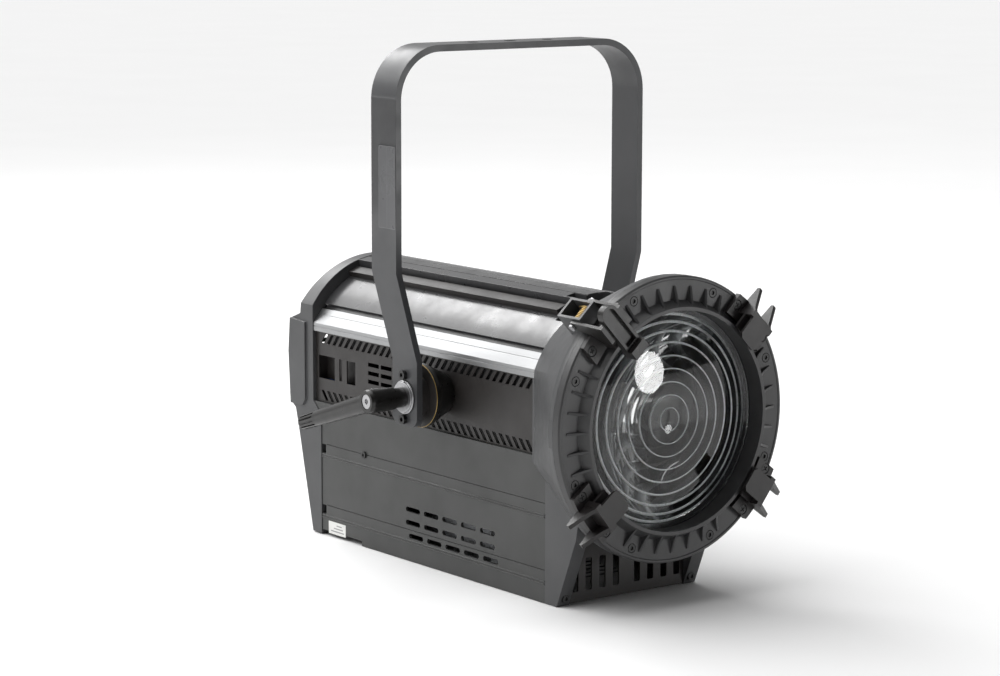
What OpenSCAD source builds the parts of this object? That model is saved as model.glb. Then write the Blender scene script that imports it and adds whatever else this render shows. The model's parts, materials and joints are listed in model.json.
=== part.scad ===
// LED Fresnel spotlight on a yoke: a stage lantern with a zooming LED carriage inside.
// +X is the lantern's left seen from the front, +Y points to the rear, +Z is up.
// The origin is on the floor under the tilt axis. Lengths are in millimetres.

/* [Head] */
// Width of the head over its flat side panels
head_w = 164; // [163:0.5:166]
// Height of the lens axis and tilt axis above the floor
axis_h = 172; // [171.5:0.5:172.5]
// Radius of the arched roof panels of the head
roof_r = 86.5; // [86:0.5:87]
// Distance from the tilt axis forward to the front flange
front_reach = 240; // [238:1:244]

/* [Lens and ring] */
// Outer radius of the lens ring
ring_r = 130; // [129.5:0.5:131]
// Radius of the clear opening of the lens ring
lens_open_r = 99.5; // [99:0.5:100]
// Radius of the Fresnel lens
lens_r = 104; // [103.5:0.5:104]
// Radii at which the Fresnel rings of the lens step down
fresnel_steps = [10.5, 22, 33.7, 45.5, 57, 68.7, 78.5, 87, 94, 98.6];

/* [Yoke] */
// Width of the flat bar that the yoke is bent from
bar_w = 39.2; // [36:0.2:40]
// Thickness of the flat bar
bar_t = 6.3; // [5:0.1:6.5]
// Width of the yoke over its two arms
yoke_w = 292; // [288:1:296]
// Height of the yoke's top face above the tilt axis
yoke_h = 327.2; // [325:0.2:335]
// Outer radius of the two bends
bend_r = 50; // [40:1:55]
// Radius of the centre hole for a hook clamp bolt
hook_hole_r = 6.5; // [5:0.5:6.5]
// Distance between the two side holes
side_hole_span = 88; // [80:1:96]
// Radius of the side holes
side_hole_r = 5.5; // [4:0.5:5.5]

/* [Motion] */
// Radius of the studs that the yoke turns on
stud_r = 6; // [5.5:0.1:6]
// Radial clearance of a shaft that turns or slides in its bore
run_gap = 0.05; // [0.02:0.01:0.08]
// Travel of each menu button
button_travel = 1.2; // [0.8:0.1:1.5]

/* [Hidden] */
$fn = 64;

slop = 0.15;              // clearance between pieces that are bolted together
eps = 0.01;
half_w = head_w / 2;
front_y = -front_reach;   // front plane of the flange
roof_z = axis_h + 6;      // height of the roof arc's centre
strip_r = roof_r + 5.5;   // radius of the dark strips on the roof
spine_r = roof_r + 11;    // radius of the raised spine
wall = 3;                 // thickness of the outer panels
sheet = 2;                // thickness of inner sheet metal

// Heights of the side of the head
rail_low = axis_h + 33;
vent_low = axis_h - 37.5;
base_low = 4;

// Stations along the head, measured back from the front flange
function back(y) = front_y + y;
hood_end = back(95);
cheek_end = back(97.4);
leg_end = back(79.5);
leg_foot = back(62);      // front of the legs at the floor
leg_brow = back(34.5);    // front of the legs under the flange
lower_end = back(441);
upper_end = back(455);

// Accessory bracket positions around the lens, clockwise from the top
upper_right = 46;
lower_right = 128;
lower_left = -128;
latch_at = -43;

// Lens axis
module on_axis() { translate([0, front_y, axis_h]) children(); }

// Local frame of a bracket: X tangential, Y back from the flange, Z radial
module at_corner(a) { on_axis() rotate([0, a, 0]) children(); }

// Cylinder along Y from y0 to y1
module rod_y(r, y0, y1) {
  translate([0, y0, 0]) rotate([-90, 0, 0]) cylinder(r = r, h = y1 - y0);
}

// Cylinder along X from x0 to x1
module rod_x(r, x0, x1) {
  translate([x0, 0, 0]) rotate([0, 90, 0]) cylinder(r = r, h = x1 - x0);
}

// Box from one corner to the opposite one
module block(lo, hi) {
  translate(lo) cube(hi - lo);
}

// 2D shape in X and Z, extruded from y0 to y1
module along_y(y0, y1) {
  translate([0, y1, 0]) rotate([90, 0, 0]) linear_extrude(y1 - y0) children();
}

// 2D shape in Y and Z, extruded from x0 to x1
module along_x(x0, x1) {
  translate([x0, 0, 0]) rotate([90, 0, 90]) linear_extrude(x1 - x0) children();
}

// A part and its mirror image on the other side of the head
module both_sides() {
  children();
  mirror([1, 0, 0]) children();
}

// Cross-section of the head: flat sides under an arched roof
module head_section(half, r, z0) {
  intersection() {
    union() {
      translate([-half, z0]) square([2 * half, roof_z - z0]);
      translate([0, roof_z]) circle(r, $fn = 180);
    }
    translate([-half, z0]) square([2 * half, roof_z + r - z0 + 1]);
  }
}

// Part of the roof band between two angles from the vertical
module roof_band(r_out, r_in, a0, a1) {
  far = 2 * r_out;
  intersection() {
    translate([0, roof_z]) difference() {
      circle(r_out, $fn = 180);
      circle(r_in, $fn = 180);
    }
    translate([0, roof_z]) polygon([
      [0, 0],
      [far * sin(a0), far * cos(a0)],
      [far * sin((a0 + a1) / 2), far * cos((a0 + a1) / 2)],
      [far * sin(a1), far * cos(a1)]
    ]);
  }
}

// Slot with round ends along X, centred
module slot_x(len, w) {
  square([len - w, w], center = true);
  for (s = [-1, 1]) translate([s * (len - w) / 2, 0]) circle(d = w, $fn = 24);
}

// Socket head cap screw along -Y: head in front of y = 0, shank behind it
module cap_screw_y(head_r, head_h, shank_r, shank_l) {
  difference() {
    rod_y(head_r, -head_h, 0);
    rod_y(head_r * 0.52, -head_h - eps, -head_h * 0.45, $fn = 6);
  }
  rod_y(shank_r, -eps, shank_l);
}

// ---- Front of the head ----

casting_front = 8.2;      // back face of the ring, where the casting starts
flange_t = 13.8;          // depth of the casting's flange
ring_screw_pcr = 120;
screw_r = 2;
RING_SCREWS = [for (k = [0:7]) 22.5 + 45 * k];
RIB_ANGLES = [for (q = [0, 90, 180, 270]) for (k = [-3:3])
  if (!(q == 90 && k == 3) && !(q == 270 && k == -3)) q + 9 * k];

tab_half = 11;            // half width of the latch tab
tab_r = 147;              // outer radius of the latch tab
pin_pos = [0, 10, 140];   // latch pin in the corner frame
pin_r = 2;

module hood_solid(inset, y_front, r_front, y_back) {
  hull() {
    on_axis() rod_y(r_front, y_front, y_front + 6, $fn = 64);
    along_y(y_back - 4, y_back) head_section(half_w + 0.9 - inset, roof_r + 3 - inset,
      axis_h - 45 + inset, $fn = 48);
  }
}

leg_t = 14;               // width of each leg
module leg_outline() {
  polygon([
    [leg_end, axis_h - 41], [leg_end, 0.5], [leg_foot, 0.5],
    [leg_brow, axis_h - 105.5], [back(26), axis_h - 60]
  ]);
}

module front_casting() {
  color([0.28, 0.28, 0.29]) difference() {
    union() {
      hood_solid(0, casting_front, ring_r, hood_end);
      both_sides() along_x(half_w - leg_t, half_w) leg_outline();
      // cheeks that reach back beside the vent panels
      both_sides() along_x(half_w - wall, half_w + 0.7) polygon([
        [hood_end - 4, rail_low - 0.3], [cheek_end, rail_low - 0.3],
        [cheek_end, axis_h - 43.5], [leg_end, axis_h - 52], [leg_end - 4, axis_h - 49]
      ]);
      latch_tab();
    }
    difference() {
      hood_solid(4, casting_front + flange_t, ring_r - 18, hood_end + eps);
      // solid corners that carry the legs
      both_sides() block([half_w - leg_t + 0.5, back(9), -1], [half_w + 5, hood_end + 1, axis_h - 43]);
    }
    // lens seat and the opening behind it
    on_axis() rod_y(lens_r + 0.3, 0, lens_back + 0.2);
    on_axis() rod_y(lens_open_r - 1, 0, 60);
    on_axis() for (a = RING_SCREWS) rotate([0, a, 0]) translate([0, 0, ring_screw_pcr])
      rod_y(screw_r + slop, 0, 21);
    latch_pocket();
    for (a = [upper_right, lower_right, lower_left, latch_at]) bracket_screw_places(a)
      rod_y(screw_r + slop, 0, 18);
    both_sides() translate([half_w - 7.5, leg_foot - 2.2, 7.6]) {
      rod_y(screw_r + slop, -4, 14);
      rod_y(4.1, -8, 0);
    }
    // seat of the lower side panels
    both_sides() along_x(half_w - wall - 0.1, half_w + 5) polygon([
      [leg_end + 0.05, axis_h - 52.05], [cheek_end + 1, axis_h - 43.2], [cheek_end + 1, -1], [leg_end + 0.05, -1]
    ]);
  }
}

module latch_tab() {
  at_corner(latch_at) {
    block([-tab_half, -1.5, ring_r + 0.6], [tab_half, 30, tab_r]);
    block([-tab_half, casting_front, ring_r - 12], [tab_half, 30, tab_r]);
  }
}

// The tab is hollow: the spring turns in its pocket, and the pin crosses it
module latch_pocket() {
  at_corner(latch_at) {
    block([-8.6, 1.2, ring_r + 3], [8.6, 27, tab_r + 1]);
    translate([0, pin_pos[1], pin_pos[2]]) rod_x(pin_r + slop, -tab_half - 1, tab_half + 1);
  }
}

module lens_ring() {
  color([0.2, 0.2, 0.21]) difference() {
    union() {
      on_axis() rotate([-90, 0, 0]) rotate_extrude($fn = 180) polygon([
        [lens_open_r, casting_front - slop], [lens_open_r, -9.7], [103, -9.7],
        [108, 0], [126.5, 0], [127, -0.8], [128.8, -0.8], [ring_r, 0.6],
        [ring_r, casting_front - slop]
      ]);
      on_axis() for (a = RIB_ANGLES) rotate([0, a, 0]) ring_rib();
    }
    on_axis() for (a = RING_SCREWS) rotate([0, a, 0]) translate([0, 0, ring_screw_pcr]) {
      rod_y(screw_r + slop, -2, 9);
      rod_y(4.4, -2, 2.6);
    }
    for (a = [upper_right, lower_right, lower_left, latch_at]) bracket_screw_places(a)
      rod_y(screw_r + slop, -2, 9);
  }
}

// Triangular rib from the front edge of the rim down to the flange
module ring_rib() {
  along_x(-1.2, 1.2) polygon([[-9, 102.6], [-5.2, 109], [-0.9, 121], [0.5, 121], [0.5, 103]]);
}

lens_back = 20;           // back face of the lens

// Depth of the ring crests behind the flange: the stepped face is slightly domed
function crest_y(r) = 5 + 8 * pow(r / 95, 2);

module fresnel_lens() {
  front = 9.9;            // front of the lens's flat rim
  step = 3.4;             // depth of each step
  function inner_r(i) = i == 0 ? 0 : fresnel_steps[i - 1] + 0.3;
  n = len(fresnel_steps);
  last = fresnel_steps[n - 1];
  color([0.75, 0.85, 0.9, 0.5]) on_axis() rotate([-90, 0, 0]) rotate_extrude($fn = 180) polygon(concat(
    [[0, lens_back]],
    [for (i = [0:n - 1]) each [
      [inner_r(i), crest_y(inner_r(i))], [fresnel_steps[i], crest_y(fresnel_steps[i]) + step]
    ]],
    [[last + 0.3, front], [lens_r, front], [lens_r, lens_back]]
  ));
}

module lens_gasket() {
  color([0.08, 0.08, 0.08]) on_axis() rotate([-90, 0, 0]) rotate_extrude($fn = 120)
    translate([lens_open_r + 0.2, casting_front - slop + 0.05]) square([4.2, 1.7]);
}

module ring_screws() {
  color([0.05, 0.05, 0.05]) on_axis() for (a = RING_SCREWS) rotate([0, a, 0])
    translate([0, 2.6, ring_screw_pcr]) cap_screw_y(3.9, 2.6, screw_r, 14);
}

// ---- Accessory brackets ----

plate_t = 2.6;
base_t = 6;
slot_w = 5.6;             // width of each accessory slot
bracket_span = 27;        // half width of the base plate
bracket_hole = 22;        // half distance between its screws
wall_r = 116;             // radius of the inside of the outer wall

module bracket_screw_places(a) {
  at_corner(a) for (s = [-1, 1]) translate([s * bracket_hole, 0, 119]) children();
}

module bracket_base() {
  difference() {
    intersection() {
      block([-bracket_span, -base_t, 106], [bracket_span, -0.9, 131]);
      rod_y(ring_r + 0.8, -20, 5);
    }
    for (s = [-1, 1]) translate([s * bracket_hole, 0, 119]) {
      rod_y(screw_r + slop, -20, 5);
      rod_y(4.8, -20, -3.4);
    }
    rod_y(109.4, -20, 5);
  }
}

// Three stepped plates make two slots that open towards the lens axis
module accessory_bracket() {
  mid_y = -base_t - slot_w;
  top_y = mid_y - plate_t - slot_w;
  difference() {
    union() {
      bracket_base();
      block([-15, mid_y - plate_t, 101], [15, mid_y, wall_r + 1]);
      block([-12, top_y - plate_t, 94], [12, top_y, wall_r + 1]);
      block([-15, top_y - plate_t, wall_r], [15, -base_t + 1, wall_r + 6]);
    }
    // bevels that lead an accessory frame in
    for (s = [-1, 1]) translate([s * 12, top_y, 94]) rotate([0, 45, 0]) cube([5, 12, 5], center = true);
  }
  for (s = [-1, 1]) translate([s * 12, 0, 0]) along_x(-2, 2) polygon([
    [top_y - plate_t, wall_r + 5], [-2, wall_r + 5], [-2, 128], [-4.5, 146.5], [-7.5, 147],
    [top_y + 2, 126]
  ]);
}

module bracket_upper_right() { color([0.16, 0.15, 0.15]) at_corner(upper_right) accessory_bracket(); }
module bracket_lower_right() { color([0.16, 0.15, 0.15]) at_corner(lower_right) accessory_bracket(); }
module bracket_lower_left() { color([0.16, 0.15, 0.15]) at_corner(lower_left) accessory_bracket(); }

module latch_seat() {
  color([0.16, 0.15, 0.15]) at_corner(latch_at) {
    bracket_base();
    block([-9, -19, 110], [9, -base_t + 1, 114]);
  }
}

module bracket_screws() {
  color([0.3, 0.3, 0.3]) for (a = [upper_right, lower_right, lower_left, latch_at])
    bracket_screw_places(a) translate([0, -3.4, 0]) difference() {
      union() {
        rod_y(4.2, -2.2, 0);
        rod_y(screw_r, -eps, 17);
      }
      for (r = [0, 90]) rotate([0, r + 20, 0]) block([-2.6, -3, -0.5], [2.6, -1.1, 0.5]);
    }
}

// Swinging latch that closes the slot from which accessories are loaded
latch_x = 11.6;           // inner faces of its two arms
latch_w = 3;

module latch_arm_outline() {
  polygon([
    [pin_pos[1] + 5, 139], [pin_pos[1] + 3, 143.6], [pin_pos[1], 145], [0, 144.6],
    [-29, 143], [-29, 124], [-20, 124], [-9, 132], [pin_pos[1] - 2, 134.6], [pin_pos[1] + 3, 136]
  ]);
}

module gel_latch() {
  arm_out = latch_x + latch_w;
  color([0.07, 0.07, 0.07]) at_corner(latch_at) difference() {
    union() {
      for (s = [-1, 1]) translate([s * (latch_x + latch_w / 2), 0, 0])
        along_x(-latch_w / 2, latch_w / 2) latch_arm_outline();
      block([-arm_out, -31, 124], [arm_out, -26, 143]);
      block([-9, -34, 100], [9, -26.5, 146]);
      translate([0, 0, 146]) rod_y(9, -34, -26.5);
      block([-9, -39, 99], [9, -24, 108]);
    }
    // finger hollow in the paddle
    block([-6, -35, 111], [6, -30, 146]);
    translate([0, 0, 146]) rod_y(6, -35, -30);
    translate([0, pin_pos[1], pin_pos[2]]) rod_x(pin_r + run_gap, -20, 20);
  }
}

module latch_pin() {
  color([0.7, 0.7, 0.7]) at_corner(latch_at) translate([0, pin_pos[1], pin_pos[2]]) {
    rod_x(pin_r, -16.5, 16.5);
    for (s = [-1, 1]) rod_x(3.4, s * 16 - 0.8, s * 16 + 0.8);
  }
}

module latch_spring() {
  turns = 9;
  color([0.75, 0.62, 0.35]) at_corner(latch_at) translate([0, pin_pos[1], pin_pos[2]])
    rotate([0, 90, 0]) for (i = [0:turns - 1]) translate([0, 0, (i - (turns - 1) / 2) * 1.5])
      rotate_extrude($fn = 32) translate([3.6, 0]) circle(0.8, $fn = 16);
}

// Upright plate between the legs with four air slots on each side of the middle
GRILLE_SLOTS = [12.5, 28.3, 44.3, 60];
grille_w = half_w - leg_t - 0.2;

module front_grille() {
  color([0.17, 0.17, 0.18]) difference() {
    block([-grille_w, leg_foot + 0.5, 1.5], [grille_w, leg_foot + 0.5 + sheet, axis_h - 70]);
    for (x = GRILLE_SLOTS) for (s = [-1, 1]) translate([s * x, leg_foot, 26]) rotate([-90, 0, 0])
      linear_extrude(5) offset(r = 1.6, $fn = 16) square([4.1, 26.8], center = true);
    hood_solid(-0.3, casting_front - 0.5, ring_r + 0.3, hood_end);
  }
}

// ---- Rear of the head ----

arch_r = spine_r + 0.5;
rear_top = roof_z + arch_r + 1;
rear_outer = [
  [0, rear_top], [0, vent_low], [-13.7, vent_low - 12.5], [-13.7, 1],
  [2, 1], [26, axis_h - 72], [32.3, axis_h - 49.1], [38.7, axis_h - 44.9], [42, axis_h + 8],
  [39, axis_h + 42], [23, axis_h + 48], [15, rear_top]
];
rear_inner = [
  [-40, rear_top], [-40, 6], [-2.5, 6], [21.5, axis_h - 72],
  [26.5, axis_h - 48.5], [26.5, axis_h - 44], [60, axis_h - 44], [60, rear_top]
];
panel_y = upper_end + 12;  // front of the recessed rear panel
panel_low = axis_h - 43.8;

// Places on the rear panel, seen from in front: X, Z
display_at = [0, 230];
display_size = [64, 34];
button_z = 198;
button_pitch = 22;
button_r = 4.5;
power_x = 54;
data_x = 18;
socket_z = 156;
power_socket_r = 13;
data_socket_r = 11;

module rear_casting() {
  color([0.33, 0.33, 0.34]) difference() {
    union() {
      intersection() {
        along_y(lower_end - 1, upper_end + 45) head_section(half_w + 0.9, arch_r, 1);
        along_x(-half_w - 2, half_w + 2) translate([upper_end, 0]) polygon(rear_outer);
      }
      // raised pads on the flanks
      both_sides() along_x(half_w - 1, half_w + 3) translate([upper_end, 0]) polygon([
        [12, axis_h - 38], [12, axis_h + 40], [39, axis_h + 42], [42, axis_h + 8],
        [38.7, axis_h - 44.9], [17, axis_h - 44.9]
      ]);
    }
    intersection() {
      union() {
        along_y(lower_end - 5, upper_end + 3) head_section(half_w - 5.5, roof_r - 2.5, 0);
        along_y(upper_end + 2.9, upper_end + 50) head_section(half_w - 4.5, arch_r - 5, 0);
      }
      along_x(-half_w, half_w) translate([upper_end, 0]) polygon(rear_inner);
    }
  }
}

module at_socket(x, z) { translate([x, panel_y, z]) children(); }

module rear_panel() {
  color([0.2, 0.2, 0.21]) difference() {
    along_y(panel_y, panel_y + sheet) head_section(half_w - 4.6, arch_r - 5.1, panel_low);
    translate([display_at[0], panel_y - 1, display_at[1]]) block(
      [-display_size[0] / 2, 0, -display_size[1] / 2], [display_size[0] / 2, 9, display_size[1] / 2]);
    for (i = [0:3]) at_socket((i - 1.5) * button_pitch, button_z) rod_y(button_r + 0.25, -1, 9);
    for (s = [-1, 1]) {
      at_socket(s * power_x, socket_z) rod_y(power_socket_r - 2, -1, 9);
      at_socket(s * data_x, socket_z) rod_y(data_socket_r - 1.5, -1, 9);
      for (k = [0:4]) translate([s * 56, panel_y - 1, 188 + k * 8]) rotate([-90, 0, 0])
        linear_extrude(9) slot_x(26, 4);
    }
  }
}

module display_window() {
  w = display_size[0] / 2;
  h = display_size[1] / 2;
  color([0.05, 0.08, 0.15]) translate([display_at[0], panel_y, display_at[1]]) {
    block([-w + 0.2, -3, -h + 0.2], [w - 0.2, sheet, h - 0.2]);
    block([-w - 2, sheet, -h - 2], [w + 2, sheet + 1.2, h + 2]);
  }
}

// Round-ended key with a collar behind the panel that keeps it in
module menu_button(i) {
  color([0.1, 0.1, 0.1]) at_socket((i - 1.5) * button_pitch, button_z) {
    rod_y(button_r, -2.4, sheet + 3);
    rod_y(button_r + 1.4, -4.4, -2.4);
  }
}

module button_menu() { menu_button(0); }
module button_down() { menu_button(1); }
module button_up() { menu_button(2); }
module button_enter() { menu_button(3); }

// Twist-lock mains socket: round shell, flange and three blades in a well
module power_socket(x) {
  r = power_socket_r;
  at_socket(x, socket_z) {
    difference() {
      union() {
        rod_y(r - 2.2, -24, sheet);
        translate([0, sheet, 0]) along_y(0, 2) square([2 * r + 5, 2 * r + 5], center = true);
        rod_y(r, sheet + 1, sheet + 6);
      }
      rod_y(r - 4, -20, sheet + 7);
    }
    for (a = [0, 120, 240]) rotate([0, a, 0]) block([-2, -20.5, 3.5], [2, sheet, 5.5]);
  }
}

// Five-pole data socket: shell, flange and a ring of contacts
module data_socket(x, pins) {
  r = data_socket_r;
  at_socket(x, socket_z) {
    difference() {
      union() {
        rod_y(r - 1.7, -18, sheet);
        translate([0, sheet, 0]) along_y(0, 2) square([2 * r + 4, 2 * r + 6], center = true);
        rod_y(r, sheet + 1, sheet + 3.5);
      }
      if (pins) rod_y(r - 2.6, -14, sheet + 7);
      else for (k = [0:4]) rotate([0, 90 + 180 * k / 4, 0]) translate([0, 0, 5]) rod_y(1.2, -10, sheet + 7);
    }
    if (pins) for (k = [0:4]) rotate([0, 90 + 180 * k / 4, 0]) translate([0, 0, 5]) rod_y(1.1, -14.5, sheet);
  }
}

module power_inlet() { color([0.1, 0.2, 0.5]) power_socket(-power_x); }
module power_outlet() { color([0.75, 0.75, 0.75]) power_socket(power_x); }
module data_inlet() { color([0.25, 0.25, 0.25]) data_socket(-data_x, true); }
module data_outlet() { color([0.25, 0.25, 0.25]) data_socket(data_x, false); }

// ---- Shell panels ----

// Angle from the vertical at which a radius of the roof reaches a distance from the middle
function angle_at(x, r) = asin(x / r);
strip_out = 40;           // distance of each strip's outer edge from the middle
strip_in = 28.5;          // distance of its inner edge
spine_half = 27.5;        // half width of the spine
rail_shoulder = [half_w - 10.5, axis_h + 54.8];

// Extruded rails along both shoulders of the head
module side_rails() {
  color([0.72, 0.72, 0.73]) both_sides() difference() {
    along_y(hood_end, upper_end) polygon([
      [half_w, rail_low], [half_w, axis_h + 41], rail_shoulder,
      [rail_shoulder[0] - 5, rail_shoulder[1] - 5], [half_w - 5.5, axis_h + 38], [half_w - 5.5, rail_low]
    ]);
    // fine groove along the sloping face and one under its lower edge
    translate([half_w - 5.4, 0, axis_h + 49.5]) rotate([0, 52.7, 0])
      block([-0.35, hood_end - 1, -1.2], [0.35, upper_end + 1, 3]);
    block([half_w - 0.7, hood_end - 1, axis_h + 37.4], [half_w + 1, upper_end + 1, axis_h + 38.1]);
    // cut back above the groove beside the rear casting
    translate([half_w - 5.4, 0, axis_h + 49.5]) rotate([0, 52.7, 0])
      block([-20, upper_end - 19, -1.2], [-0.35, upper_end + 1, 8]);
  }
}

module top_panel() {
  inner = angle_at(strip_out + 0.3, roof_r);
  outer = angle_at(rail_shoulder[0] - 3.2, roof_r);
  ledge_r = roof_r - 4;
  difference() {
    along_y(hood_end, upper_end) {
      roof_band(roof_r, roof_r - sheet, inner, outer);
      // flange folded down and out, the floor of the groove beside the rail
      roof_band(roof_r - sheet + 0.1, ledge_r - 1.2, outer - 1, outer);
      roof_band(ledge_r, ledge_r - 1.2, outer - 0.5, angle_at(rail_shoulder[0] - 4.2, ledge_r - 0.6));
    }
    // notched corner beside the latch spring
    block([strip_out - 2, hood_end - 1, roof_z], [strip_out + 4, back(114), roof_z + roof_r]);
  }
}

module top_panel_left() { color([0.42, 0.42, 0.43]) mirror([1, 0, 0]) top_panel(); }
module top_panel_right() { color([0.42, 0.42, 0.43]) top_panel(); }

// Raised dark strips on both sides of the spine, each with a thin lip
module top_rails() {
  a_in = angle_at(strip_in, strip_r);
  a_out = angle_at(strip_out, strip_r);
  color([0.2, 0.18, 0.17]) both_sides() along_y(back(117), upper_end) {
    roof_band(strip_r, roof_r + 0.1, a_in, a_out);
    roof_band(strip_r + 0.5, strip_r - 1, a_out - 0.6, a_out);
  }
}

// Spine over a floor that also carries the strips
module top_spine() {
  edge = angle_at(spine_half, spine_r);
  floor_edge = angle_at(strip_out, roof_r);
  color([0.3, 0.29, 0.28]) difference() {
    union() {
      along_y(hood_end, upper_end) roof_band(roof_r, roof_r - sheet, -floor_edge, floor_edge);
      along_y(back(105), upper_end) roof_band(spine_r, roof_r - 0.1, -edge, edge);
      both_sides() along_y(back(105), upper_end) roof_band(spine_r + 0.5, spine_r - 1, edge - 0.6, edge);
    }
    for (x = [-14, 0, 14]) translate([0, 0, roof_z]) rotate([0, angle_at(x, spine_r), 0])
      block([-0.6, back(90), spine_r - 0.8], [0.6, upper_end + 1, spine_r + 3]);
    // notches beside the middle of the front edge
    both_sides() block([15, back(100), roof_z + roof_r - 4.5], [25, back(122), roof_z + 120]);
  }
}

// Vented side panel, set back between the rail and the lower panel
vent_face = half_w - 3;
vent_pitch = 10.1;
vent_lean = 4;            // half of a slot's sideways lean
vent_sheet = 1.2;         // thickness of the vented panel

// One leaning vent slot in the panel's Y and Z
module vent_slot(y, z, lean) {
  translate([y, z]) polygon([
    [-lean - 2.6, -5], [-lean + 2.6, -5], [lean + 2.6, 5], [lean - 2.6, 5]
  ]);
}

module vent_panel() {
  slots = floor((upper_end - cheek_end - 12) / vent_pitch);
  difference() {
    along_x(vent_face - vent_sheet, vent_face) difference() {
      translate([cheek_end, vent_low]) square([upper_end - cheek_end, rail_low - vent_low - 0.1]);
      for (k = [0:slots - 1]) {
        vent_slot(cheek_end + 9 + k * vent_pitch, axis_h + 26.3, -vent_lean);
        vent_slot(cheek_end + 9 + k * vent_pitch, axis_h - 30.9, vent_lean);
      }
      translate([back(422), axis_h - 14]) square([28, 23]);
      translate([back(409.5), axis_h - 13]) square([4.5, 22]);
      translate([back(386), axis_h - 14]) square([15, 23]);
      for (k = [0:2]) for (j = [0, 1]) translate([back(324 + j * 21.5), axis_h - 8.6 + k * 8.4])
        square([18.5, 4]);
    }
    translate([0, 0, axis_h]) rod_x(stud_r + slop, 0, half_w);
  }
  // shallow box behind the square opening and the switch recess
  along_x(vent_face - 12, vent_face - 11) translate([back(376), axis_h - 16]) square([76, 30]);
  // walls that join the box to the panel
  for (y = [376, 452]) block([vent_face - 11.1, back(y), axis_h - 16], [vent_face - 1, back(y) + 1, axis_h + 14]);
}

module vent_panel_left() { color([0.25, 0.24, 0.24]) mirror([1, 0, 0]) vent_panel(); }
module vent_panel_right() { color([0.25, 0.24, 0.24]) vent_panel(); }

// Lower side panel: an extrusion with two double ridges and a grid of air slots
ridge_z = [axis_h - 91, axis_h - 152.6];
ridge_gap = 2.4;

module lower_panel() {
  foot_step = back(371.7);
  difference() {
    union() {
      along_x(half_w - wall, half_w) difference() {
        polygon([
          [leg_end + 0.1, 0.5], [foot_step, 0.5], [foot_step, base_low + 1.5], [lower_end - 0.1, base_low + 1.5],
          [lower_end - 0.1, vent_low - 12.7], [upper_end - 0.1, vent_low - 0.2], [cheek_end + 0.1, vent_low - 0.2],
          [cheek_end + 0.1, axis_h - 43.8], [leg_end + 0.1, axis_h - 52.3]
        ]);
        for (row = [0, 1, 2]) for (k = [0:4])
          translate([back(166 + k * 29.75 - (row == 2 ? 5 : 0)), axis_h - 121 - row * 12.9]) slot_x(23.2, 4.8);
        // open channel ends behind the rear casting
        for (z = ridge_z) translate([lower_end - 7, z + 2.5]) square([9, 9]);
      }
      for (z = ridge_z) for (s = [-1, 1]) translate([0, 0, z + s * ridge_gap / 2])
        rotate([-90, 0, 0]) translate([half_w, 0, leg_end + 0.1]) cylinder(r = 0.7,
          h = lower_end - leg_end - 0.2, $fn = 16);
    }
    for (z = ridge_z) block([half_w - 0.8, leg_end - 1, z + 11.5], [half_w + 1, lower_end - 8.5, z + 12.2]);
    translate([0, back(366.6), axis_h - 79.5]) rod_x(screw_r + slop, 60, 120);
  }
}

module lower_panel_left() { color([0.3, 0.3, 0.3]) mirror([1, 0, 0]) lower_panel(); }
module lower_panel_right() { color([0.3, 0.3, 0.3]) lower_panel(); }

// Feet near the four corners and one under the tilt axis
FEET = [[-60, back(110)], [60, back(110)], [-60, back(415)], [60, back(415)], [0, 0]];

module base_plate() {
  color([0.2, 0.2, 0.2]) difference() {
    union() {
      block([-half_w + wall + 0.2, leg_end + 1, base_low], [half_w - wall - 0.2, lower_end - 0.2, base_low + sheet]);
      block([-grille_w + 1, leg_foot + 2.8, base_low], [grille_w - 1, leg_end + 2, base_low + sheet]);
    }
    for (f = FEET) translate([f[0], f[1], -1]) cylinder(r = 2.6, h = 20);
    for (k = [0:7]) translate([0, -120 + k * 12, 0]) linear_extrude(20) slot_x(90, 5);
  }
}

module rubber_feet() {
  color([0.05, 0.05, 0.05]) for (f = FEET) translate([f[0], f[1], 0]) {
    cylinder(r1 = 10, r2 = 11, h = base_low);
    cylinder(r = 2.4, h = base_low + sheet + 2);
    translate([0, 0, base_low + sheet]) cylinder(r = 4, h = 2);
  }
}

module case_screws() {
  color([0.06, 0.06, 0.06]) both_sides() {
    translate([half_w - 7.5, leg_foot - 2.2, 7.6]) cap_screw_y(3.8, 2.5, screw_r, 12);
    translate([half_w, back(366.6), axis_h - 79.5]) rotate([0, 0, 90]) cap_screw_y(3.4, 1.6, screw_r, 7);
  }
}

// ---- Inside the head ----

deck_low = 60;
rod_x_pos = 62;
rod_z = 73;
rod_radius = 5;
screw_z = 73;
lead_r = 4;
rods_front = back(98);
rods_rear = back(338);
carriage_y = back(165);
carriage_t = 6;
support_t = 4;

module mid_deck() {
  color([0.6, 0.6, 0.62]) difference() {
    block([-76, back(97), deck_low], [76, back(420), deck_low + sheet]);
    for (x = [-50, 50]) for (y = [back(375), back(403)]) translate([x, y, deck_low - 1]) cylinder(r = 9, h = 6);
  }
}

module rod_supports() {
  color([0.55, 0.55, 0.57]) for (y = [rods_front, rods_rear]) difference() {
    block([-74, y, deck_low + sheet], [74, y + support_t, deck_low + sheet + 22]);
    for (s = [-1, 1]) translate([s * rod_x_pos, 0, rod_z]) rod_y(rod_radius + 0.02, y - 1, y + 5);
    translate([0, 0, screw_z]) rod_y(lead_r + run_gap, y - 1, y + 5);
  }
}

module guide_rods() {
  color([0.8, 0.8, 0.82]) for (s = [-1, 1]) translate([s * rod_x_pos, 0, rod_z])
    rod_y(rod_radius, rods_front - 1, rods_rear + support_t + 1);
}

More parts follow.
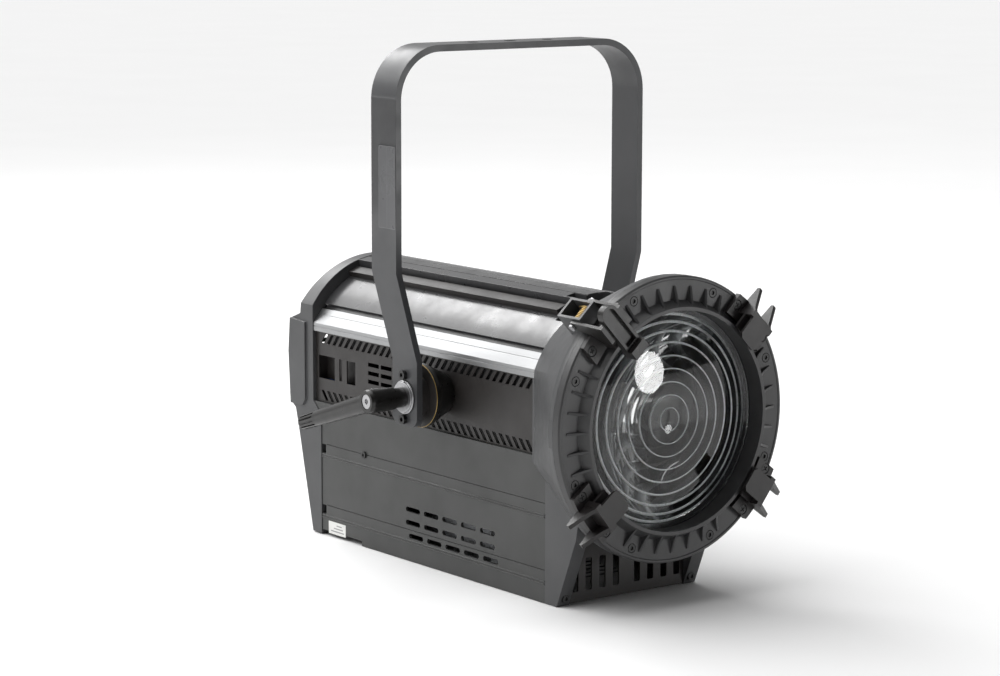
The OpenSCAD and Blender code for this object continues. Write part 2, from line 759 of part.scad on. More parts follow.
module lead_screw() {
  color([0.75, 0.75, 0.78]) translate([0, 0, screw_z]) difference() {
    union() {
      rod_y(lead_r, rods_front - 3, rods_rear + 16);
      rod_y(7.5, rods_rear + 7, rods_rear + 21);
    }
    rod_y(2.5, rods_rear + 15, rods_rear + 22);
  }
}

module stepper_motor() {
  y = rods_rear + 26;
  color([0.15, 0.15, 0.16]) translate([0, 0, screw_z]) {
    difference() {
      block([-19, y, -screw_z + deck_low + sheet], [19, y + 40, 25]);
      for (x = [-15.5, 15.5]) for (z = [-7.5, 21]) translate([x, 0, z]) rod_y(1.5, y - 1, y + 5);
    }
    rod_y(11, y - 2, y);
    rod_y(2.5 - run_gap, y - 10, y);
  }
}

module power_supply() {
  color([0.7, 0.7, 0.72]) difference() {
    block([-52, back(200), base_low + sheet + 4], [52, back(400), 54]);
    block([-50, back(202), base_low + sheet + 6], [50, back(398), 60]);
  }
  color([0.2, 0.35, 0.2]) for (x = [-44, 44]) for (y = [back(210), back(390)])
    translate([x, y, base_low + sheet]) cylinder(r = 4, h = 4);
}

module control_board() {
  color([0.05, 0.3, 0.15]) {
    block([-56, panel_y - 16.6, 180], [56, panel_y - 15, 234]);
    for (x = [-40, -10, 25]) block([x, panel_y - 15, 190], [x + 14, panel_y - 11, 204]);
    for (x = [-51, 51]) for (z = [184, 229]) translate([x, 0, z]) rod_y(2.5, panel_y - 15, panel_y);
  }
}

module carriage_plate() {
  color([0.65, 0.65, 0.67]) difference() {
    union() {
      along_y(carriage_y, carriage_y + carriage_t) union() {
        translate([-60, 66]) square([120, axis_h - 6]);
        translate([-73, 64.5]) square([146, 18]);
      }
      for (s = [-1, 1]) block([s * rod_x_pos - 10, carriage_y, 64.5], [s * rod_x_pos + 10, carriage_y + 42, 82.5]);
      block([-12, carriage_y, 64.5], [12, carriage_y + 20, 84.5]);
    }
    for (s = [-1, 1]) translate([s * rod_x_pos, 0, rod_z]) rod_y(8, carriage_y - 1, carriage_y + 50);
    translate([0, 0, screw_z]) rod_y(7, carriage_y - 1, carriage_y + 30);
    translate([0, 0, axis_h]) rod_y(26, carriage_y - 1, carriage_y + 10);
  }
}

module carriage_bushes() {
  color([0.72, 0.55, 0.3]) for (s = [-1, 1]) translate([s * rod_x_pos, 0, rod_z]) difference() {
    rod_y(8, carriage_y, carriage_y + 42);
    rod_y(rod_radius + run_gap, carriage_y - 1, carriage_y + 50);
  }
}

module lead_nut() {
  color([0.75, 0.6, 0.3]) translate([0, 0, screw_z]) difference() {
    rod_y(7, carriage_y, carriage_y + 20);
    rod_y(lead_r + run_gap, carriage_y - 1, carriage_y + 30);
  }
}

// LED engine: emitter on a copper core with a ring that holds its cover glass
module led_module() {
  color([0.9, 0.85, 0.4]) translate([0, 0, axis_h]) {
    rod_y(24, carriage_y - 4, carriage_y + carriage_t);
    difference() {
      rod_y(34, carriage_y - 12, carriage_y);
      rod_y(27, carriage_y - 13, carriage_y - 2);
    }
    rod_y(20, carriage_y - 6, carriage_y - 4);
  }
}

module heat_sink() {
  y0 = carriage_y + carriage_t;
  color([0.75, 0.76, 0.78]) {
    block([-58, y0, axis_h - 56], [58, y0 + 8, axis_h + 56]);
    for (k = [0:18]) block([-58 + k * 6.4, y0 + 8, axis_h - 56], [-56.8 + k * 6.4, y0 + 58, axis_h + 56]);
  }
}

fan_y = carriage_y + carriage_t + 58;
module fan_frame() {
  color([0.12, 0.12, 0.12]) difference() {
    union() {
      difference() {
        block([-60, fan_y, axis_h - 60], [60, fan_y + 25, axis_h + 60]);
        translate([0, 0, axis_h]) rod_y(57, fan_y - 1, fan_y + 30);
      }
      translate([0, 0, axis_h]) rod_y(20, fan_y + 21, fan_y + 24.5);
      for (a = [45:90:315]) translate([0, 0, axis_h]) rotate([0, a, 0])
        block([-2.5, fan_y + 21.5, 18], [2.5, fan_y + 24, 62]);
    }
    for (x = [-52.5, 52.5]) for (z = [-52.5, 52.5]) translate([x, 0, axis_h + z]) rod_y(2.2, fan_y - 1, fan_y + 30);
    translate([0, 0, axis_h]) rod_y(3 + run_gap, fan_y + 10, fan_y + 30);
  }
}

module fan_rotor() {
  color([0.18, 0.18, 0.18]) translate([0, 0, axis_h]) {
    rod_y(20, fan_y + 3, fan_y + 20);
    rod_y(3, fan_y + 19, fan_y + 24);
    for (k = [0:6]) rotate([0, k * 360 / 7, 0]) translate([0, fan_y + 11.5, 0]) rotate([0, 0, 35])
      block([-8.5, -0.9, 19], [8.5, 0.9, 55.5]);
  }
}

// ---- Pivots and yoke ----

boss_r = 30;
boss_foot_r = 19;         // each boss narrows towards the head
boss_out = 106.3;
disc_r = 30;
disc_in = boss_out + 0.3;
disc_out = disc_in + 1.2;
spacer_r = 20;
arm_in = 116.7;
arm_out = arm_in + bar_t;
yoke_half = yoke_w / 2;
jog_top = axis_h + 119;
jog_low = axis_h + 34;
yoke_screw_z = 21;

module at_pivot() { translate([0, 0, axis_h]) children(); }

module pivot_bosses() {
  color([0.12, 0.12, 0.12]) both_sides() at_pivot() difference() {
    union() {
      translate([vent_face, 0, 0]) rotate([0, 90, 0])
        cylinder(r1 = boss_foot_r, r2 = boss_r, h = boss_out - vent_face - 4);
      rod_x(boss_r, boss_out - 4.1, boss_out);
    }
    rod_x(stud_r + slop, 70, 120);
  }
}

// Studs clamped to the side of the head; the yoke turns on them
module pivot_studs() {
  color([0.6, 0.6, 0.62]) both_sides() at_pivot() {
    rod_x(stud_r, vent_face - vent_sheet - 1, 135);
    rod_x(16, vent_face - vent_sheet - 6, vent_face - vent_sheet);
  }
}

module friction_discs() {
  color([0.7, 0.55, 0.25]) both_sides() at_pivot() difference() {
    union() {
      rod_x(disc_r, disc_in, disc_out);
      rod_x(spacer_r, disc_out - eps, arm_in);
    }
    rod_x(stud_r + run_gap, 100, 130);
    for (s = [-1, 1]) translate([0, 0, s * yoke_screw_z]) rod_x(1.6, 109, 130);
  }
}

arm_end = axis_h - 27;    // lower end of each arm

// Half of the flat bar's outline seen from the front
module yoke_half_band() {
  inner_bend = bend_r - bar_t;
  top = axis_h + yoke_h;
  // half of the top
  translate([-1, top - bar_t]) square([yoke_half - bend_r + 1, bar_t]);
  // bend
  translate([yoke_half - bend_r, top - bend_r]) intersection() {
    difference() {
      circle(bend_r, $fn = 180);
      circle(inner_bend, $fn = 180);
    }
    square([bend_r + 1, bend_r + 1]);
  }
  // straight arm, slanting stretch and end plate
  polygon([
    [yoke_half - bar_t, top - bend_r], [yoke_half, top - bend_r], [yoke_half, jog_top],
    [arm_out, jog_low], [arm_out, arm_end], [arm_in, arm_end],
    [arm_in, jog_low + 1], [yoke_half - bar_t, jog_top + 1]
  ]);
}

module yoke_bar() {
  round_r = 10;
  color([0.4, 0.4, 0.42]) difference() {
    along_y(-bar_w / 2, bar_w / 2) {
      yoke_half_band();
      mirror([1, 0, 0]) yoke_half_band();
    }
    // rounded lower corners
    for (s = [0, 1]) mirror([0, s, 0]) along_x(-yoke_half - 1, yoke_half + 1) difference() {
      translate([bar_w / 2 - round_r, arm_end - 1]) square(round_r + 1);
      translate([bar_w / 2 - round_r, arm_end + round_r]) circle(round_r + 0.2);
    }
    translate([0, 0, axis_h + yoke_h - 10]) {
      cylinder(r = hook_hole_r, h = 20);
      for (s = [-1, 1]) translate([s * side_hole_span / 2, 0, 0]) cylinder(r = side_hole_r, h = 20);
    }
    at_pivot() {
      rod_x(stud_r + run_gap, -150, -100);
      rod_x(stud_r + run_gap, 100, 150);
      for (s = [-1, 1]) translate([0, 0, s * yoke_screw_z]) {
        rod_x(2.6, -150, -100);
        rod_x(2.6, 100, 150);
      }
    }
  }
}

// A black collar and a bright steel washer outside each arm
module pivot_washers() {
  color([0.75, 0.75, 0.77]) both_sides() at_pivot() difference() {
    union() {
      rod_x(16, arm_out, arm_out + 1.4);
      rod_x(14.5, arm_out + 1.3, arm_out + 3.4);
    }
    rod_x(stud_r + run_gap, 100, 150);
  }
}

module yoke_screws() {
  color([0.05, 0.05, 0.05]) both_sides() at_pivot() for (s = [-1, 1])
    translate([arm_out, 0, s * yoke_screw_z]) rotate([0, 0, 90]) {
      cap_screw_y(4.4, 4, 2.5, bar_t - 0.05);
      rod_y(1.5, bar_t - 0.1, 12);
    }
}

// ---- Clamp lever on the left pivot ----

lever_gap = 0.3;
hub_in = arm_out + 3.4 + lever_gap;
hub_out = 167;
neck_l = 11;              // narrow end of the hub beside the yoke
hub_r = 11.5;
insert_r = 8;
cap_r = 6.9;              // bright end of the insert
insert_out = hub_in + 17;
lever_lift = 4;
lever_tip = [0, 127, -40];  // from the stud's axis

module lever_insert() {
  color([0.65, 0.65, 0.67]) at_pivot() {
    difference() {
      rod_x(insert_r, -insert_out, -hub_in);
      rod_x(stud_r + run_gap, -135.5, -hub_in + 1);
      rod_x(3, -insert_out - 1, -135.4);
    }
    rod_x(3, -hub_out + 4, -insert_out + 6);
    difference() {
      rod_x(cap_r, -hub_out + 0.5, -hub_out + 4);
      rod_x(2.8, -hub_out, -hub_out + 2.6, $fn = 6);
    }
  }
}

module clamp_lever() {
  reach = norm([lever_tip[1], lever_tip[2]]);
  droop = atan2(-lever_tip[2], lever_tip[1]);
  color([0.07, 0.07, 0.07]) at_pivot() difference() {
    union() {
      // hub, rounded off outside and narrow beside the yoke
      translate([-hub_out, 0, 0]) rotate([0, 90, 0]) cylinder(r1 = hub_r - 1.5, r2 = hub_r, h = 4);
      translate([-hub_out + 4, 0, 0]) rotate([0, 90, 0])
        cylinder(r1 = hub_r, r2 = hub_r - 0.8, h = hub_out - 4 - hub_in - neck_l);
      rod_x(9.3, -hub_in - neck_l - 0.1, -hub_in);
      // arm that tapers towards the tip
      rotate([-droop, 0, 0]) hull() {
        translate([-hub_out + 9.6, 4, 0]) rotate([-90, 0, 0]) cylinder(r = 9.5, h = 1, $fn = 32);
        translate([-hub_out + 12, reach - 7, 0]) sphere(7, $fn = 24);
      }
    }
    // grooves between the ribs of the finger end
    rotate([-droop, 0, 0]) for (a = [15:30:345]) translate([-hub_out + 12, 0, 0]) rotate([0, a, 0])
      block([-0.9, reach - 31, 5.4], [0.9, reach + 1, 12]);
    rod_x(insert_r + run_gap, -insert_out - lever_lift - 1, -hub_in + 1);
    rod_x(3.2, -hub_out, -insert_out);
    rod_x(cap_r + 0.2, -hub_out - 1, -hub_out + 9.5);
  }
}

module pivot_nut() {
  color([0.6, 0.6, 0.62]) at_pivot() difference() {
    union() {
      rod_x(10.5, arm_out + 3.4, arm_out + 9, $fn = 6);
      rod_x(9, arm_out + 8.9, arm_out + 13);
    }
    rod_x(stud_r + run_gap, 120, 150);
  }
}

front_casting();
lens_ring();
fresnel_lens();
lens_gasket();
ring_screws();
bracket_upper_right();
bracket_lower_right();
bracket_lower_left();
latch_seat();
bracket_screws();
gel_latch();
latch_pin();
latch_spring();
front_grille();
rear_casting();
rear_panel();
display_window();
button_menu();
button_down();
button_up();
button_enter();
power_inlet();
power_outlet();
data_inlet();
data_outlet();
side_rails();
top_rails();
top_spine();
top_panel_left();
top_panel_right();
vent_panel_left();
vent_panel_right();
lower_panel_left();
lower_panel_right();
base_plate();
rubber_feet();
case_screws();
mid_deck();
rod_supports();
guide_rods();
lead_screw();
stepper_motor();
power_supply();
control_board();
carriage_plate();
carriage_bushes();
lead_nut();
led_module();
heat_sink();
fan_frame();
fan_rotor();
pivot_bosses();
pivot_studs();
yoke_bar();
friction_discs();
pivot_washers();
yoke_screws();
lever_insert();
clamp_lever();
pivot_nut();
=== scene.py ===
# Looks for the LED Fresnel spotlight: finished pieces, materials, studio and camera.
# Everything is in metres in the part's frame: +Z up, -Y towards the lens, origin on the floor.
import json
import math

import bmesh
import bpy
from mathutils import Matrix, Vector


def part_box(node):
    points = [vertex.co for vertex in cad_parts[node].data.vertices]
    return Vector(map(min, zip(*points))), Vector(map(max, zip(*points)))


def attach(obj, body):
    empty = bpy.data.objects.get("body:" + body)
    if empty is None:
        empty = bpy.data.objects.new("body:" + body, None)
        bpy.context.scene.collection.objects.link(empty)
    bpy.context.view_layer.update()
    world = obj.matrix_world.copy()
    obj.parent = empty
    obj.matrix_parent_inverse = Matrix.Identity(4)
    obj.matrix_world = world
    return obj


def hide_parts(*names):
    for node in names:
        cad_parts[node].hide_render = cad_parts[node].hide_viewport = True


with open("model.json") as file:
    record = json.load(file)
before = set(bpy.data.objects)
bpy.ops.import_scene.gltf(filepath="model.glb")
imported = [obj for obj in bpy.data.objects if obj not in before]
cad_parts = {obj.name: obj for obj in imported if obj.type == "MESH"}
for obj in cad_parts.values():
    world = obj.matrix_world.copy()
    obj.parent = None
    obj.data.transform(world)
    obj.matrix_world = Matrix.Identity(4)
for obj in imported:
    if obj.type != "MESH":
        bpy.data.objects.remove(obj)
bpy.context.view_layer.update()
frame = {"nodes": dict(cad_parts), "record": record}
NODES = frame["nodes"]
SLOT_OF = {s["node"]: s["material_slot"] for s in frame["record"]["subparts"]}
BODY_OF = {n: b for b, names in frame["record"]["behaviour"]["bodies"].items() for n in names}

# ---- Places taken from the frame ----
MM = 0.001
LENS_LOW, LENS_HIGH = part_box("fresnel_lens")
LENS_BACK = LENS_HIGH.y
LENS_R = (LENS_HIGH.z - LENS_LOW.z) / 2
AXIS_H = (LENS_LOW.z + LENS_HIGH.z) / 2
TAB_STANDOFF = 1.5 * MM   # the latch tab stands this far in front of the flange
FLANGE_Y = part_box("front_casting")[0].y + TAB_STANDOFF


# ---- Materials ----

def node_material(name):
    mat = bpy.data.materials.new(name)
    mat.use_nodes = True
    tree = mat.node_tree
    shader = tree.nodes["Principled BSDF"]
    place = tree.nodes.new("ShaderNodeTexCoord")
    return mat, tree, shader, place.outputs["Object"]


def noise(tree, place, scale, detail=3.0, roughness=0.55, stretch=None):
    """A noise texture in object space; stretch scales the space along each axis first."""
    if stretch:
        mapping = tree.nodes.new("ShaderNodeMapping")
        mapping.inputs["Scale"].default_value = stretch
        tree.links.new(place, mapping.inputs["Vector"])
        place = mapping.outputs["Vector"]
    tex = tree.nodes.new("ShaderNodeTexNoise")
    tex.inputs["Scale"].default_value = scale
    tex.inputs["Detail"].default_value = detail
    tex.inputs["Roughness"].default_value = roughness
    tree.links.new(place, tex.inputs["Vector"])
    return tex.outputs["Fac"]


def spread(tree, value, low, high, from_low=0.3, from_high=0.7):
    """Maps a texture value to a range."""
    remap = tree.nodes.new("ShaderNodeMapRange")
    remap.inputs["From Min"].default_value = from_low
    remap.inputs["From Max"].default_value = from_high
    remap.inputs["To Min"].default_value = low
    remap.inputs["To Max"].default_value = high
    tree.links.new(value, remap.inputs["Value"])
    return remap.outputs["Result"]


def mix_colors(tree, value, dark, light):
    mix = tree.nodes.new("ShaderNodeMix")
    mix.data_type = "RGBA"
    mix.inputs["A"].default_value = (*dark, 1)
    mix.inputs["B"].default_value = (*light, 1)
    tree.links.new(value, mix.inputs["Factor"])
    return mix.outputs["Result"]


def bump(tree, shader, heights):
    """Chains bump nodes: heights is a list of (value, strength, distance in metres)."""
    normal = None
    for value, strength, distance in heights:
        node = tree.nodes.new("ShaderNodeBump")
        node.inputs["Strength"].default_value = strength
        node.inputs["Distance"].default_value = distance
        tree.links.new(value, node.inputs["Height"])
        if normal:
            tree.links.new(normal, node.inputs["Normal"])
        normal = node.outputs["Normal"]
    tree.links.new(normal, shader.inputs["Normal"])


def powder_coat(name, rgb, rough, grain=0.25):
    """Fine-textured stoved paint: a soft orange peel, uneven sheen and slight handling marks."""
    mat, tree, shader, place = node_material(name)
    broad = noise(tree, place, 14, 4)
    fine = noise(tree, place, 1400, 2)
    peel = noise(tree, place, 420, 2)
    dark = tuple(c * 0.86 for c in rgb)
    light = tuple(min(1, c * 1.14) for c in rgb)
    tree.links.new(mix_colors(tree, spread(tree, broad, 0, 1), dark, light), shader.inputs["Base Color"])
    sheen = spread(tree, noise(tree, place, 45, 5), rough - 0.05, rough + 0.07)
    tree.links.new(sheen, shader.inputs["Roughness"])
    bump(tree, shader, [(peel, grain * 0.5, 0.0001), (fine, grain, 0.00006)])
    return mat


def moulded(name, rgb, rough, grain=0.15):
    """Moulded plastic with a fine spark-eroded grain."""
    mat, tree, shader, place = node_material(name)
    fine = noise(tree, place, 1800, 2)
    light = tuple(min(1, c * 1.25 + 0.002) for c in rgb)
    tree.links.new(mix_colors(tree, spread(tree, noise(tree, place, 60), 0, 1), rgb, light),
                   shader.inputs["Base Color"])
    sheen = spread(tree, noise(tree, place, 90, 4), rough - 0.04, rough + 0.08)
    tree.links.new(sheen, shader.inputs["Roughness"])
    bump(tree, shader, [(fine, grain, 0.00005)])
    return mat


def bare_metal(name, rgb, rough, brush=(1, 1, 1), grain=0.1):
    """Metal, brushed along the axis whose stretch is small."""
    mat, tree, shader, place = node_material(name)
    lines = noise(tree, place, 260, 3, 0.6, brush)
    dark = tuple(c * 0.82 for c in rgb)
    tree.links.new(mix_colors(tree, spread(tree, lines, 0, 1), dark, rgb), shader.inputs["Base Color"])
    tree.links.new(spread(tree, lines, rough - 0.06, rough + 0.1), shader.inputs["Roughness"])
    shader.inputs["Metallic"].default_value = 1.0
    bump(tree, shader, [(lines, grain, 0.00004)])
    return mat


def lens_clear():
    """Pressed glass: clear, with faint streaks and a slight green-grey body colour."""
    mat, tree, shader, place = node_material("lens_clear")
    streaks = noise(tree, place, 30, 3)
    tree.links.new(mix_colors(tree, spread(tree, streaks, 0, 1), (0.9, 0.92, 0.92), (0.96, 0.97, 0.97)),
                   shader.inputs["Base Color"])
    tree.links.new(spread(tree, noise(tree, place, 80), 0.01, 0.05), shader.inputs["Roughness"])
    shader.inputs["Transmission Weight"].default_value = 1.0
    shader.inputs["IOR"].default_value = 1.49
    bump(tree, shader, [(streaks, 0.03, 0.0004)])
    # light passes straight through on its way to the steps and the inside
    rays = tree.nodes.new("ShaderNodeLightPath")
    clear = tree.nodes.new("ShaderNodeBsdfTransparent")
    clear.inputs["Color"].default_value = (0.88, 0.9, 0.9, 1)
    mix = tree.nodes.new("ShaderNodeMixShader")
    tree.links.new(rays.outputs["Is Shadow Ray"], mix.inputs[0])
    tree.links.new(shader.outputs["BSDF"], mix.inputs[1])
    tree.links.new(clear.outputs["BSDF"], mix.inputs[2])
    tree.links.new(mix.outputs["Shader"], tree.nodes["Material Output"].inputs["Surface"])
    return mat


def riser_highlight():
    """The steep walls between the lens rings, coloured whitish: a painted highlight for the bright lines of
    light along the steps.
    """
    mat, tree, shader, place = node_material("riser_highlight")
    speckle = noise(tree, place, 500, 3)
    # painted highlight: light grey to near white, standing for the lit lines along the steps
    tree.links.new(mix_colors(tree, spread(tree, speckle, 0, 1), (0.62, 0.64, 0.65), (0.9, 0.92, 0.93)),
                   shader.inputs["Base Color"])
    tree.links.new(spread(tree, speckle, 0.25, 0.45), shader.inputs["Roughness"])
    shader.inputs["Transmission Weight"].default_value = 0.3
    bump(tree, shader, [(speckle, 0.2, 0.0001)])
    return mat


ALONG_Y = (1, 0.03, 1)
ALONG_Z = (1, 1, 0.04)
MATERIALS = {
    "body_paint": powder_coat("body_paint", (0.058, 0.059, 0.061), 0.4),
    "panel_paint": powder_coat("panel_paint", (0.04, 0.041, 0.04), 0.4),
    # painted shade: the vent panels' brown-black is made darker than the body paint, for the shade on these
    # upright sides
    "vent_paint": powder_coat("vent_paint", (0.02, 0.0175, 0.0165), 0.45),
    "roof_paint": powder_coat("roof_paint", (0.05, 0.05, 0.052), 0.3),
    "yoke_paint": powder_coat("yoke_paint", (0.05, 0.051, 0.054), 0.38),
    "ring_paint": powder_coat("ring_paint", (0.033, 0.033, 0.034), 0.38),
    "bracket_black": moulded("bracket_black", (0.009, 0.0075, 0.0075), 0.38),
    "black_plastic": moulded("black_plastic", (0.006, 0.0055, 0.005), 0.3),
    "friction": moulded("friction", (0.012, 0.01, 0.009), 0.5, 0.2),
    "black_alu": powder_coat("black_alu", (0.012, 0.012, 0.012), 0.5, 0.15),
    "black_steel": powder_coat("black_steel", (0.01, 0.01, 0.01), 0.34, 0.1),
    "rubber": moulded("rubber", (0.012, 0.012, 0.012), 0.75, 0.3),
    "screen_glass": moulded("screen_glass", (0.008, 0.012, 0.02), 0.08, 0.0),
    "rail": bare_metal("rail", (0.42, 0.425, 0.43), 0.42, ALONG_Y),
    "steel": bare_metal("steel", (0.5, 0.5, 0.51), 0.34),
    "chrome": bare_metal("chrome", (0.3, 0.3, 0.31), 0.3, grain=0.03),
    "brass": bare_metal("brass", (0.62, 0.44, 0.18), 0.34),
    "sheet_zinc": bare_metal("sheet_zinc", (0.5, 0.51, 0.53), 0.4),
    "alu": bare_metal("alu", (0.66, 0.67, 0.69), 0.36, ALONG_Z),
    "circuit": moulded("circuit", (0.015, 0.11, 0.05), 0.35),
    "blue_plastic": moulded("blue_plastic", (0.02, 0.08, 0.32), 0.35),
    "grey_plastic": moulded("grey_plastic", (0.35, 0.35, 0.36), 0.4),
    "emitter": moulded("emitter", (0.75, 0.62, 0.14), 0.25),
    "lens_glass": lens_clear(),
}


# ---- Pieces made from the frame's solids, with rounded edges ----

def add_object(name, mesh, body):
    obj = bpy.data.objects.new(name, mesh)
    bpy.context.scene.collection.objects.link(obj)
    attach(obj, body)
    return obj


BEVEL_SEGMENTS = 2
SHARP_ANGLE = math.radians(28)
FLAT_ANGLE = math.radians(0.4)
WELD_GAP = 2e-6


def round_edges(obj, radius):
    """Rounds the sharp edges in the geometry and shades the rest smoothly."""
    for poly in obj.data.polygons:
        poly.use_smooth = True
    bevel = obj.modifiers.new("edges", "BEVEL")
    bevel.width = radius
    bevel.segments = BEVEL_SEGMENTS
    bevel.limit_method = "ANGLE"
    bevel.angle_limit = SHARP_ANGLE
    bevel.use_clamp_overlap = True
    bevel.harden_normals = False
    bevel.miter_outer = "MITER_ARC"
    weighted = obj.modifiers.new("normals", "WEIGHTED_NORMAL")
    weighted.keep_sharp = True


def finish_node(node, radius):
    """A finished piece that stands for a CAD node: same shape, clean faces, rounded edges."""
    mesh = NODES[node].data.copy()
    bm = bmesh.new()
    bm.from_mesh(mesh)
    bmesh.ops.remove_doubles(bm, verts=bm.verts, dist=WELD_GAP)
    bmesh.ops.dissolve_limit(bm, angle_limit=FLAT_ANGLE, verts=bm.verts, edges=bm.edges)
    bm.to_mesh(mesh)
    bm.free()
    mesh.materials.clear()
    mesh.materials.append(MATERIALS[SLOT_OF[node]])
    obj = add_object("fine_" + node, mesh, BODY_OF[node])
    round_edges(obj, radius)
    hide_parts(node)
    return obj


def paint_faces(obj, material, wanted):
    """Gives the faces that wanted(face centre, face normal) picks a material of their own."""
    obj.data.materials.append(material)
    index = len(obj.data.materials) - 1
    for poly in obj.data.polygons:
        if wanted(poly.center, poly.normal):
            poly.material_index = index


# nodes with no finished piece, such as the vent panels and the inside, show these materials
for name, cad in NODES.items():
    cad.data.materials.clear()
    cad.data.materials.append(MATERIALS[SLOT_OF[name]])

EDGE_RADII = {
    "front_casting": 0.0016, "lens_ring": 0.0005, "front_grille": 0.0005, "rear_casting": 0.0018,
    "bracket_upper_right": 0.0007, "bracket_lower_right": 0.0007, "bracket_lower_left": 0.0007,
    "latch_seat": 0.0006, "gel_latch": 0.0012, "side_rails": 0.0003, "top_rails": 0.0004,
    "top_spine": 0.0004, "top_panel_left": 0.0005, "top_panel_right": 0.0005,
    "lower_panel_left": 0.0004, "lower_panel_right": 0.0004,
    "pivot_bosses": 0.0012, "yoke_bar": 0.0009, "friction_discs": 0.0004,
    "pivot_washers": 0.0004, "yoke_screws": 0.0005, "ring_screws": 0.0004, "bracket_screws": 0.0003,
    "case_screws": 0.0004, "clamp_lever": 0.0009, "lever_insert": 0.0003, "pivot_nut": 0.0005,
    "rear_panel": 0.0003, "display_window": 0.0005, "power_inlet": 0.0005, "power_outlet": 0.0005,
    "data_inlet": 0.0005, "data_outlet": 0.0005, "button_menu": 0.0006, "button_down": 0.0006,
    "button_up": 0.0006, "button_enter": 0.0006, "rubber_feet": 0.0008, "base_plate": 0.0003,
}
FINE = {node: finish_node(node, radius) for node, radius in EDGE_RADII.items()}

# painted shade: the rails' faces turned towards the roof panels are black, for the shadow in the gap beside
# the panels
paint_faces(FINE["side_rails"], MATERIALS["black_steel"],
            lambda centre, normal: normal.x * math.copysign(1, centre.x) < -0.3)
# each washer sits on a black collar, its wider step next to the arm
WASHER_R = 14.7 * MM
paint_faces(FINE["pivot_washers"], MATERIALS["black_plastic"],
            lambda centre, normal: math.hypot(centre.y, centre.z - AXIS_H) > WASHER_R)


# ---- Fresnel lens ----

def add_mesh(name, verts, faces):
    """A mesh whose faces all look outwards."""
    mesh = bpy.data.meshes.new(name)
    mesh.from_pydata(verts, [], faces)
    bm = bmesh.new()
    bm.from_mesh(mesh)
    bmesh.ops.recalc_face_normals(bm, faces=bm.faces)
    bm.to_mesh(mesh)
    bm.free()
    return mesh


def lathe(name, profile, body, material, segments=192):
    """Turns (radius, y) points round the lens axis; a point on the axis is a single vertex."""
    verts, starts, faces = [], [], []
    for radius, y in profile:
        starts.append(len(verts))
        if radius == 0:
            verts.append((0.0, y, AXIS_H))
            continue
        for k in range(segments):
            angle = 2 * math.pi * k / segments
            verts.append((radius * math.sin(angle), y, AXIS_H + radius * math.cos(angle)))
    for i in range(len(profile) - 1):
        a, b = starts[i], starts[i + 1]
        for k in range(segments):
            n = (k + 1) % segments
            if profile[i][0] == 0:
                faces.append((a, b + n, b + k))
            elif profile[i + 1][0] == 0:
                faces.append((a + k, a + n, b))
            else:
                faces.append((a + k, a + n, b + n, b + k))
    mesh = add_mesh(name, verts, faces)
    for poly in mesh.polygons:
        poly.use_smooth = True
    mesh.materials.append(material)
    return add_object(name, mesh, body)


STEP_RADII = [r * MM for r in (10.5, 22, 33.7, 45.5, 57, 68.7, 78.5, 87, 94)]
STEP_DEPTH = 3.4 * MM
STEP_LIP = 0.12 * MM
BODY_R = 98 * MM
BODY_POINTS = 16
RIM_Y = FLANGE_Y + 9.9 * MM
RIM_GAP = 0.3 * MM


def crest_y(radius):
    """The steps' crests lie on a slight dome, a little behind that of the lens's solid."""
    return FLANGE_Y + 5.5 * MM + 8 * MM * (radius / (95 * MM)) ** 2


def body_y(radius):
    """Front of the glass, which is smooth and bulges over the steps."""
    return FLANGE_Y + 1 * MM + 12 * MM * (radius / BODY_R) ** 2


outline = [(BODY_R * k / BODY_POINTS, body_y(BODY_R * k / BODY_POINTS)) for k in range(BODY_POINTS + 1)]
outline += [(BODY_R + RIM_GAP, RIM_Y), (LENS_R, RIM_Y), (LENS_R, LENS_BACK), (0.0, LENS_BACK)]
lens = lathe("lens_body", outline, BODY_OF["fresnel_lens"], MATERIALS["lens_glass"])
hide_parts("fresnel_lens")

# walls of the steps, seen through the glass, coloured whitish as a painted highlight of the light along
# them
RISER_HIGHLIGHT = riser_highlight()
for number, radius in enumerate(STEP_RADII):
    crest = crest_y(radius)
    width = (0.8 + 2.4 * (radius / LENS_R) ** 2) * MM
    inner = (radius - width * 0.4, crest + STEP_LIP)
    outer = (radius + width * 0.6, crest + STEP_LIP)
    root = (radius + width * 0.25, crest + STEP_DEPTH)
    lathe(f"lens_step_highlight_{number}", [inner, (radius, crest), outer, root, inner],
          BODY_OF["fresnel_lens"], RISER_HIGHLIGHT)


# ---- Light baffles ----

# a black tube behind the lens and strips behind the vents hide light that comes through the head
TUBE_R, TUBE_WALL = 78 * MM, 1 * MM
TUBE_FRONT = LENS_BACK + 1 * MM
TUBE_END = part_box("side_rails")[0].y - 1.5 * MM
tube_outline = [(TUBE_R - TUBE_WALL, TUBE_FRONT), (TUBE_R, TUBE_FRONT), (TUBE_R, TUBE_END),
                (TUBE_R - TUBE_WALL, TUBE_END), (TUBE_R - TUBE_WALL, TUBE_FRONT)]
lathe("lens_baffle", tube_outline, "head", MATERIALS["black_alu"], segments=96)


def slab(name, x, y, z, body, material):
    """A thin plate that fills three (low, high) ranges."""
    mesh = bpy.data.meshes.new(name)
    bm = bmesh.new()
    bmesh.ops.create_cube(bm, size=1)
    for vert in bm.verts:
        vert.co = [(low + high) / 2 + (high - low) * place
                   for (low, high), place in zip((x, y, z), vert.co)]
    bm.to_mesh(mesh)
    bm.free()
    mesh.materials.append(material)
    return add_object(name, mesh, body)


